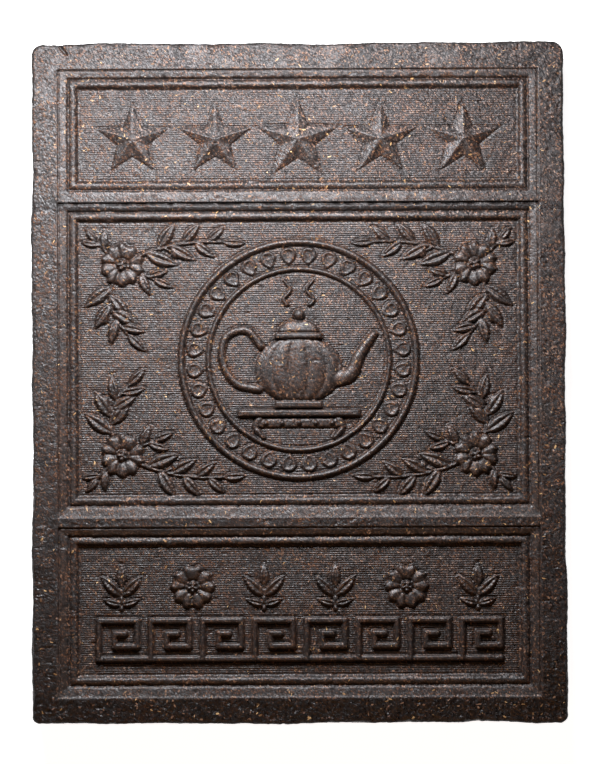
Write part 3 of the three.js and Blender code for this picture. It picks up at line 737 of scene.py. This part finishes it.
def crack_depth(x, y):
    """The short crack that runs in from the top edge."""
    line = np.array(CRACK["points"])
    depth = np.zeros_like(x)
    for a, b in zip(line, line[1:]):
        along = np.clip(((x - a[0]) * (b - a)[0] + (y - a[1]) * (b - a)[1]) / ((b - a) @ (b - a)), 0, 1)
        away = np.hypot(x - a[0] - along * (b - a)[0], y - a[1] - along * (b - a)[1])
        depth = np.maximum(depth, CRACK["depth"] * np.clip(1 - (away / CRACK["radius"]) ** 2, 0, 1))
    return depth


SIDE_STRIPS = (100, 60)  # how far up the raster the strips lie that the sides show


def side_tone(x, y, z):
    """The tone of the chips in the sides and the back, from two strips across the face's raster."""
    across = (x + y + 2 * HEIGHT) % (WIDTH - 2)
    return sample(FACE_CHIPS[1], across, z + np.where(x > y, *SIDE_STRIPS))


class Skin:
    """The vertices and faces of the brick, with the flat places that its UV map is made from."""

    def __init__(self):
        self.points, self.faces, self.charts, self.count = [], [], [], 0

    def add_points(self, places, flat, tone, gloss):
        """Adds points and gives the index of the first."""
        first = self.count
        self.points.append((places, flat, tone.ravel(), gloss.ravel()))
        self.count += len(places)
        return first

    def add_faces(self, faces, charts):
        """Adds faces with the chart of the UV map that each lies on."""
        self.faces.append(faces)
        self.charts.append(charts)


CHART_SCALE = 1 / 380
CHART_GAP = 2
CHART_MARGIN = 0.002  # of the whole UV map, left free along its lower and left sides
FACE, BACK, LOWER_EDGE, RIGHT_EDGE, UPPER_EDGE, LEFT_EDGE = range(6)


def chart_uv(flat, chart):
    """UV of places on a chart: the face and the back side by side, and the four edges over them."""
    x, y, z = flat[..., 0], flat[..., 1], flat[..., 2]
    edge = chart >= LOWER_EDGE
    lengthwise = (chart == RIGHT_EDGE) | (chart == LEFT_EDGE)
    across = np.where(lengthwise, y + HEIGHT / 2, x + WIDTH / 2) + (chart == BACK) * (WIDTH + CHART_GAP)
    strip = HEIGHT + CHART_GAP + (chart - LOWER_EDGE) * (THICKNESS + CHART_GAP)
    up = np.where(edge, strip + z, y + HEIGHT / 2)
    return np.stack([across, up], axis=-1) * CHART_SCALE + CHART_MARGIN


def edge_charts(columns, rows):
    """The chart of each step round the border of a grid with so many lines."""
    return np.repeat([LOWER_EDGE, RIGHT_EDGE, UPPER_EDGE, LEFT_EDGE], 2 * [columns - 1, rows - 1])


def as_points(x, y, z):
    """A row of x, y and z for each place."""
    return np.stack([x, y, z], axis=-1).reshape(-1, 3)


def add_face(skin, columns, rows):
    """The moulded face, down to the upper edge of the sides. Gives its heights."""
    x, y, z, tone, gloss = face_places(columns, rows)
    flat_x, flat_y = np.meshgrid(columns, rows)
    flat = as_points(flat_x, flat_y, np.full_like(flat_x, THICKNESS - EDGE_ROUNDING))
    skin.add_points(as_points(*wavy(x, y), z), flat, tone, gloss)
    faces = grid_faces(len(columns), len(rows))
    skin.add_faces(faces, np.full(len(faces), FACE))
    return z


def add_sides(skin, columns, rows):
    """The four sides, down to the rounding of the lower edge. Gives the last loop."""
    loop = border(len(columns), len(rows))
    flat_x, flat_y = (c.ravel()[loop[::2]] for c in np.meshgrid(columns, rows))
    x, y, _, out_x, out_y = round_corners(flat_x, flat_y, WIDTH / 2, HEIGHT / 2)
    charts = edge_charts(len(columns[::2]), len(rows[::2]))
    straight = [(z, 0, 1) for z in np.linspace(THICKNESS - EDGE_ROUNDING, EDGE_ROUNDING, SIDE_ROWS + 1)[1:]]
    under = [(EDGE_ROUNDING * (1 - math.sin(a)), EDGE_ROUNDING * (1 - math.cos(a)), math.cos(a))
             for a in (math.pi / 6, math.pi / 3, math.pi / 2)]
    upper = None
    for level, inset, lean in straight + under:
        z = np.full_like(x, level)
        outward = lean * side_grain(x, y, z) - inset
        places = as_points(*wavy(x + out_x * outward, y + out_y * outward), z)
        gloss = np.full_like(x, SIDE_GLOSS * lean)
        first = skin.add_points(places, as_points(flat_x, flat_y, z), side_tone(x, y, z), gloss)
        lower = np.arange(first, skin.count)
        if upper is None:
            skin.add_faces(halving_faces(loop, lower), np.tile(charts, 3))
        else:
            skin.add_faces(wall_faces(upper, lower), charts)
        upper = lower
    return upper


SIDE_GLOSS, BACK_GLOSS = 0.2, 0.15
BACK_INSET = EDGE_ROUNDING + 0.6
BACK_HALF_WIDTH, BACK_HALF_HEIGHT = WIDTH / 2 - BACK_INSET, HEIGHT / 2 - BACK_INSET


def back_hollows(x, y, gap):
    """How far the back is hollowed at each place: shallow waves and a few pits."""
    uneven = 0.16 + 0.12 * noise(x, y, 11, 51) + 0.06 * noise(x, y, 3.5, 52)
    return np.maximum(0, uneven + 0.3 * rise(0.7, 1, noise(x, y, 4, 53))) * rise(0, 3, gap)


def add_back(skin, columns, rows, last_loop):
    """The plain back, on a grid with a quarter of the face's lines."""
    back_columns = columns[::LOOP_MULTIPLE] * BACK_HALF_WIDTH / (WIDTH / 2)
    back_rows = rows[::LOOP_MULTIPLE] * BACK_HALF_HEIGHT / (HEIGHT / 2)
    flat_x, flat_y = np.meshgrid(back_columns, back_rows)
    x, y, gap, _, _ = round_corners(flat_x, flat_y, BACK_HALF_WIDTH, BACK_HALF_HEIGHT)
    z = back_hollows(x, y, gap)
    tone, gloss = side_tone(x, y, y * 0), np.full_like(x, BACK_GLOSS)
    first = skin.add_points(as_points(*wavy(x, y), z), as_points(flat_x, flat_y, z), tone, gloss)
    size = len(back_columns), len(back_rows)
    skin.add_faces(halving_faces(last_loop, border(*size, first)), np.tile(edge_charts(*size), 3))
    faces = grid_faces(*size, first)[:, ::-1]
    skin.add_faces(faces, np.full(len(faces), BACK))


def make_mesh(name, places, faces, smooth):
    """A mesh from points in mm and arrays of triangles or quads."""
    mesh = bpy.data.meshes.new(name)
    sizes = np.concatenate([np.full(len(f), f.shape[1]) for f in faces])
    corners = np.concatenate([f.ravel() for f in faces])
    mesh.vertices.add(len(places))
    mesh.vertices.foreach_set("co", (places * MM).astype(np.float32).ravel())
    mesh.loops.add(len(corners))
    mesh.loops.foreach_set("vertex_index", corners.astype(np.int32))
    mesh.polygons.add(len(sizes))
    mesh.polygons.foreach_set("loop_start", np.concatenate([[0], np.cumsum(sizes)[:-1]]).astype(np.int32))
    mesh.polygons.foreach_set("use_smooth", np.full(len(sizes), smooth))
    mesh.update(calc_edges=True)
    mesh.validate()
    return mesh


def add_values(mesh, name, values):
    """Stores one number a vertex for the materials to read."""
    mesh.attributes.new(name, "FLOAT", "POINT").data.foreach_set("value", values.astype(np.float32))


def add_object(data):
    """An object of the data's own name in the scene."""
    made = bpy.data.objects.new(data.name, data)
    bpy.context.collection.objects.link(made)
    return made


def add_piece(mesh, material):
    mesh.materials.append(material)
    piece = add_object(mesh)
    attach(piece, "root")
    return piece


def make_brick(columns, rows, material):
    """The whole skin as one closed mesh. Gives the face's heights for the slivers."""
    skin = Skin()
    heights = add_face(skin, columns, rows)
    last_loop = add_sides(skin, columns, rows)
    add_back(skin, columns, rows, last_loop)
    places, flat, tone, gloss = (np.concatenate(values) for values in zip(*skin.points))
    mesh = make_mesh("pressed_tea_brick", places, skin.faces, True)
    add_values(mesh, "tone", tone)
    add_values(mesh, "gloss", gloss)
    uv = [chart_uv(flat[f], c[:, None]).reshape(-1, 2) for f, c in zip(skin.faces, skin.charts)]
    mesh.uv_layers.new(name="OFBake").data.foreach_set("uv", np.concatenate(uv).astype(np.float32).ravel())
    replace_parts(add_piece(mesh, material), "tea_brick")
    return heights


# ---- Slivers of stem and leaf that lie flush in the surface ----

SLIVER_OUTLINE = ((0.5, 0.0), (0.2, 0.5), (-0.45, 0.35), (-0.5, -0.3), (0.15, -0.5))
STEMS = {"seed": 61, "density": 0.035, "length": (0.5, 1.5), "slimness": (0.2, 0.5)}  # in each mm2
LEAVES = {"seed": 62, "density": 0.09, "length": (0.4, 1.3), "slimness": (0.3, 0.7)}
SLIVER_STAND = 0.06  # how far a sliver's top stands over the dust
SLIVER_SINK = 0.16
SLIVER_BREADTHS = (0.22, 0.8)
SLIVER_MARGIN = 1.5
BACK_SHARE = 0.4  # how densely they lie on the back


def face_point(columns, rows, heights):
    """A function that lays places on the moulded face: x, y and a lift to x, y and z."""
    def point(x, y, lift):
        x, y = np.clip(x, columns[0], columns[-1]), np.clip(y, rows[0], rows[-1])
        i = np.clip(np.searchsorted(columns, x) - 1, 0, len(columns) - 2)
        j = np.clip(np.searchsorted(rows, y) - 1, 0, len(rows) - 2)
        fu = (x - columns[i]) / (columns[i + 1] - columns[i])
        fv = (y - rows[j]) / (rows[j + 1] - rows[j])
        return np.stack([*wavy(x, y), blend(heights, i, j, fu, fv) + lift], axis=-1)
    return point


def side_point(quarter):
    """The same for a side, from the way along it, anticlockwise, and the height."""
    dx, dy = ((1, 0), (0, 1), (-1, 0), (0, -1))[quarter]
    half_out = (HEIGHT, WIDTH)[quarter % 2] / 2

    def point(along, z, lift):
        x, y = along * dx + half_out * dy, along * dy - half_out * dx
        out = side_grain(x, y, z) + lift
        return np.stack([*wavy(x + out * dy, y - out * dx), z], axis=-1)
    return point


def back_point(across, y, lift):
    """The same for the back, seen from below."""
    x, y, gap, _, _ = round_corners(-across, y, BACK_HALF_WIDTH, BACK_HALF_HEIGHT)
    return np.stack([*wavy(x, y), np.maximum(0, back_hollows(x, y, gap) - lift)], axis=-1)


def make_slivers(name, surfaces, material, seed, density, length, slimness):
    """Slivers all over the surfaces as one mesh of closed five-sided chips."""
    rng = np.random.default_rng(seed)
    under, over = [], []
    for point, reach, low, high, share in surfaces:
        count = int(density * share * 2 * reach * (high - low))
        outline = np.array(SLIVER_OUTLINE) * rng.uniform(0.75, 1.2, (count, len(SLIVER_OUTLINE), 1))
        long = rng.uniform(*length, (count, 1))
        broad = np.clip(long * rng.uniform(*slimness, (count, 1)), *SLIVER_BREADTHS)
        angle = rng.uniform(0, 2 * math.pi, (count, 1))
        a, b = outline[..., 0] * long, outline[..., 1] * broad
        u = rng.uniform(-reach, reach, (count, 1)) + a * np.cos(angle) - b * np.sin(angle)
        v = rng.uniform(low, high, (count, 1)) + a * np.sin(angle) + b * np.cos(angle)
        under.append(point(u, v, -SLIVER_SINK))
        over.append(point(u, v, SLIVER_STAND))
    under, over = np.concatenate(under), np.concatenate(over)
    total, corners = under.shape[:2]
    low = np.arange(total * corners).reshape(total, corners)
    high = low + total * corners
    walls = np.stack([low, np.roll(low, -1, 1), np.roll(high, -1, 1), high], axis=-1).reshape(-1, 4)
    places = np.concatenate([under, over]).reshape(-1, 3)
    mesh = make_mesh(name, places, [walls, high, low[:, ::-1]], False)
    add_values(mesh, "tone", np.tile(np.repeat(rng.uniform(0, 1, total), corners), 2))
    add_piece(mesh, material)


# ---- Materials ----

class Nodes:
    """A new material, with short ways to add nodes to it."""

    def __init__(self, name):
        self.material = bpy.data.materials.new(name)
        self.material.use_nodes = True
        self.tree = self.material.node_tree
        self.shader = self.tree.nodes["Principled BSDF"]

    def feed(self, node, inputs):
        """Sets a node's inputs, or links them to the sockets that give their values."""
        for key, value in inputs.items():
            if isinstance(value, bpy.types.NodeSocket):
                self.tree.links.new(value, node.inputs[key])
            else:
                node.inputs[key].default_value = value

    def add(self, kind, inputs, **settings):
        """Adds a node, with its inputs by name or number, and gives its outputs."""
        made = self.tree.nodes.new("ShaderNode" + kind)
        for key, value in settings.items():
            setattr(made, key, value)
        self.feed(made, inputs)
        return made.outputs

    def maths(self, operation, *values):
        return self.add("Math", dict(enumerate(values)), operation=operation)[0]

    def scaled(self, value, factor, offset):
        return self.maths("MULTIPLY_ADD", value, factor, offset)

    def vector_maths(self, operation, a, b):
        return self.add("VectorMath", {0: a, 1: b}, operation=operation)

    def mixed(self, factor, a, b):
        return self.add("Mix", {0: factor, 2: a, 3: b})[0]

    def mixed_colours(self, factor, a, b):
        return self.add("Mix", {0: factor, 6: a, 7: b}, data_type="RGBA")[2]

    def share_between(self, value, low, high):
        return self.add("MapRange", {"Value": value, "From Min": low, "From Max": high})[0]

    def ramp(self, factor, stops):
        """Colours between stops, each a place and a linear colour."""
        colour = self.add("ValToRGB", {"Fac": factor})["Color"]
        elements = colour.node.color_ramp.elements
        while len(elements) < len(stops):
            elements.new(1)
        for element, (place, tone) in zip(elements, stops):
            element.position = place
            element.color = (*tone, 1)
        return colour

    def place(self):
        return self.add("TexCoord", {})["Object"]

    def vertex_value(self, name):
        return self.add("Attribute", {}, attribute_name=name)["Fac"]

    def noise(self, place, scale, detail, roughness=0.5):
        inputs = {"Vector": place, "Scale": scale, "Detail": detail, "Roughness": roughness}
        return self.add("TexNoise", inputs)[0]

    def bump(self, height, distance, strength):
        return self.add("Bump", {"Height": height, "Distance": distance, "Strength": strength})[0]


TEA_TONES = (
    (0.1, (0.0024, 0.001, 0.0006)), (0.35, (0.009, 0.004, 0.0024)), (0.52, (0.021, 0.0098, 0.006)),
    (0.66, (0.047, 0.0235, 0.0145)), (0.8, (0.115, 0.062, 0.038)), (0.95, (0.23, 0.13, 0.075)),
)
RUBBED_TONES = (
    (0.1, (0.0062, 0.0032, 0.0022)), (0.5, (0.021, 0.0116, 0.0082)), (0.9, (0.064, 0.038, 0.027)),
)
COOL_TINT, WARM_TINT = (0.84, 1, 1.14, 1), (1.26, 1, 0.72, 1)
STEM_TONES = (
    (0.05, (0.07, 0.032, 0.013)), (0.4, (0.14, 0.07, 0.027)),
    (0.75, (0.25, 0.14, 0.055)), (0.98, (0.4, 0.26, 0.12)),
)
LEAF_TONES = ((0.05, (0.035, 0.016, 0.01)), (0.5, (0.085, 0.038, 0.02)), (0.95, (0.16, 0.085, 0.045)))
CHIP_TILT = (0.3, 0.2)
CHIP_LAYERS = ((-1.0, 1.15, 0.4), (-0.45, 0.9, 0.45))  # (turn, length in mm, slimness)
TEA_BUMP, SLIVER_BUMP = 0.21 * MM, 0.1 * MM


def chip_layer(nodes, place, turn, size, slimness):
    """Long flat chips that lie one way: a random colour for each, the height of its tilted face,
    and how far each place is from its middle."""
    scale = (size * MM, size * slimness * MM, size * MM)
    inputs = {"Vector": place, "Rotation": (*CHIP_TILT, turn), "Scale": scale}
    turned = nodes.add("Mapping", inputs, vector_type="TEXTURE")[0]
    cells = nodes.add("TexVoronoi", {"Vector": turned, "Scale": 1})
    lean = nodes.vector_maths("SUBTRACT", cells["Color"], (0.5, 0.5, 0.5))[0]
    away = nodes.vector_maths("SUBTRACT", turned, cells["Position"])[0]
    height = nodes.vector_maths("DOT_PRODUCT", lean, away)["Value"]
    return cells["Color"], height, cells["Distance"]


def tea_material():
    """Dark pressed dust: brown chips of many tones, greyer and smoother where the mould rubbed it, with
    painted shade towards each chip's edge and in the gaps between chips.
    """
    nodes = Nodes("pressed_tea")
    place = nodes.place()
    tone, gloss = nodes.vertex_value("tone"), nodes.vertex_value("gloss")
    coarse, fine = nodes.noise(place, 120, 3, 0.6), nodes.noise(place, 2200, 2, 0.6)
    which = nodes.share_between(nodes.noise(place, 480, 2), 0.49, 0.51)
    colours, heights, distances = zip(*(chip_layer(nodes, place, *layer) for layer in CHIP_LAYERS))
    chip = nodes.add("SeparateColor", {"Color": nodes.mixed_colours(which, *colours)})[1]
    height, away = nodes.mixed(which, *heights), nodes.mixed(which, *distances)
    gap = nodes.share_between(away, 0.4, 0.62)

    # Painted shade: darker away from each chip's middle and darker still in the gaps between chips.
    shade = nodes.maths("MULTIPLY", tone, 0.3)
    for value, weight in ((coarse, 0.35), (fine, 0.3), (chip, 0.55), (away, -0.45), (gap, -0.25)):
        shade = nodes.scaled(value, weight, shade)
    shade = nodes.maths("SUBTRACT", shade, 0.02)
    rubbed = nodes.maths("MULTIPLY", gloss, nodes.scaled(coarse, 3.2, -0.6))
    rubbed = nodes.add("Clamp", {"Value": rubbed})[0]
    colour = nodes.mixed_colours(rubbed, nodes.ramp(shade, TEA_TONES), nodes.ramp(shade, RUBBED_TONES))
    patches = nodes.share_between(nodes.noise(place, 150, 3), 0.35, 0.65)
    tint = nodes.mixed_colours(patches, COOL_TINT, WARM_TINT)

    dull = nodes.scaled(chip, 0.16, nodes.scaled(away, 0.42, 0.24))
    dull = nodes.maths("MULTIPLY", dull, nodes.scaled(nodes.maths("MINIMUM", gloss, 0.0), 0.3, 1.0))
    dull = nodes.maths("MULTIPLY", dull, nodes.scaled(rubbed, -0.75, 1.0))
    relief = nodes.scaled(away, -0.35, height)
    relief = nodes.maths("MULTIPLY", relief, nodes.scaled(rubbed, -0.8, 1.0))
    nodes.feed(nodes.shader, {
        "Base Color": nodes.vector_maths("MULTIPLY", colour, tint)[0],
        "Roughness": nodes.scaled(rubbed, 0.29, dull),
        "Normal": nodes.bump(nodes.scaled(fine, 0.25, relief), TEA_BUMP, 1),
    })
    return nodes.material


def sliver_material(name, stops, roughness):
    """Dry plant fibre: one tone to a sliver, with a faint mottle."""
    nodes = Nodes(name)
    mottle = nodes.noise(nodes.place(), 1800, 2)
    shade = nodes.scaled(mottle, 0.5, nodes.maths("SUBTRACT", nodes.vertex_value("tone"), 0.25))
    nodes.feed(nodes.shader, {
        "Base Color": nodes.ramp(shade, stops),
        "Roughness": roughness,
        "Normal": nodes.bump(mottle, SLIVER_BUMP, 0.6),
    })
    return nodes.material


# ---- The brick ----

columns, rows = grid_columns(), grid_rows()
heights = make_brick(columns, rows, tea_material())
half_x, half_y = WIDTH / 2 - SLIVER_MARGIN, HEIGHT / 2 - SLIVER_MARGIN
surfaces = [
    (face_point(columns, rows, heights), half_x, -half_y, half_y, 1),
    (back_point, half_x - 2, 2 - half_y, half_y - 2, BACK_SHARE),
]
for quarter in range(4):
    reach = (WIDTH, HEIGHT)[quarter % 2] / 2 - TOP_CORNER_RADIUS - 1
    surfaces.append((side_point(quarter), reach, SLIVER_MARGIN, THICKNESS - SLIVER_MARGIN, 1))
make_slivers("stem_slivers", surfaces, sliver_material("dry_stem", STEM_TONES, 0.5), **STEMS)
make_slivers("leaf_slivers", surfaces, sliver_material("dry_leaf", LEAF_TONES, 0.6), **LEAVES)


# ---- Floor, light and camera ----

FLOOR_REACH = 12
VIEW_DISTANCE = 1.0
VIEW_HEIGHT = 0.2676  # how much of the face's plane the picture holds, from top to bottom
VIEW_MIDDLE_X = 0.0003
VIEW_TILT = math.radians(1.4)
VIEW_ROLL = math.radians(-0.25)
FLOOR_GLOW = 0.95
SKY_STRENGTH = 0.03
KEY = {"place": (-0.035, 0.15, 0.172), "aim": (-0.035, -0.2, 0.022), "size": (0.2, 0.09), "power": 2.25,
       "colour": (0.96, 0.955, 1.0)}
FILL = {"place": (0, -0.35, 0.35), "aim": (0, -0.05, 0.02), "size": (0.35, 0.2), "power": 0.25,
        "colour": (1.0, 0.44, 0.13)}


def make_floor():
    mesh = bpy.data.meshes.new("floor")
    corners = [(sx * FLOOR_REACH, sy * FLOOR_REACH, 0) for sx, sy in ((-1, -1), (1, -1), (1, 1), (-1, 1))]
    mesh.from_pydata(corners, [], [(0, 1, 2, 3)])
    nodes = Nodes("pale_floor")
    nodes.feed(nodes.shader, {
        "Base Color": (0.8, 0.8, 0.8, 1),
        "Roughness": 0.8,
        "Emission Color": (1, 1, 1, 1),
        "Emission Strength": FLOOR_GLOW,
    })
    mesh.materials.append(nodes.material)
    add_object(mesh)


def make_lamp(name, place, aim, size, power, colour):
    """A soft oblong lamp that faces a point."""
    light = bpy.data.lights.new(name, "AREA")
    light.shape, light.energy, light.color = "RECTANGLE", power, colour
    light.size, light.size_y = size
    lamp = add_object(light)
    lamp.location = place
    lamp.visible_camera = False
    lamp.rotation_euler = (Vector(aim) - Vector(place)).to_track_quat("-Z", "Y").to_euler()


def make_camera():
    lens = bpy.data.cameras.new("camera")
    lens.lens = lens.sensor_width * VIEW_DISTANCE / VIEW_HEIGHT
    camera = add_object(lens)
    back, up = VIEW_DISTANCE * math.sin(VIEW_TILT), VIEW_DISTANCE * math.cos(VIEW_TILT)
    camera.location = (VIEW_MIDDLE_X, -back, THICKNESS * MM + up)
    camera.rotation_euler = (VIEW_TILT, 0, VIEW_ROLL)
    bpy.context.scene.camera = camera


make_floor()
make_lamp("key", **KEY)
make_lamp("fill", **FILL)
make_camera()
world = bpy.data.worlds.new("studio")
world.use_nodes = True
sky = world.node_tree.nodes["Background"].inputs
sky["Color"].default_value = (1, 1, 1, 1)
sky["Strength"].default_value = SKY_STRENGTH
bpy.context.scene.world = world
bpy.context.scene.view_settings.view_transform = "Standard"
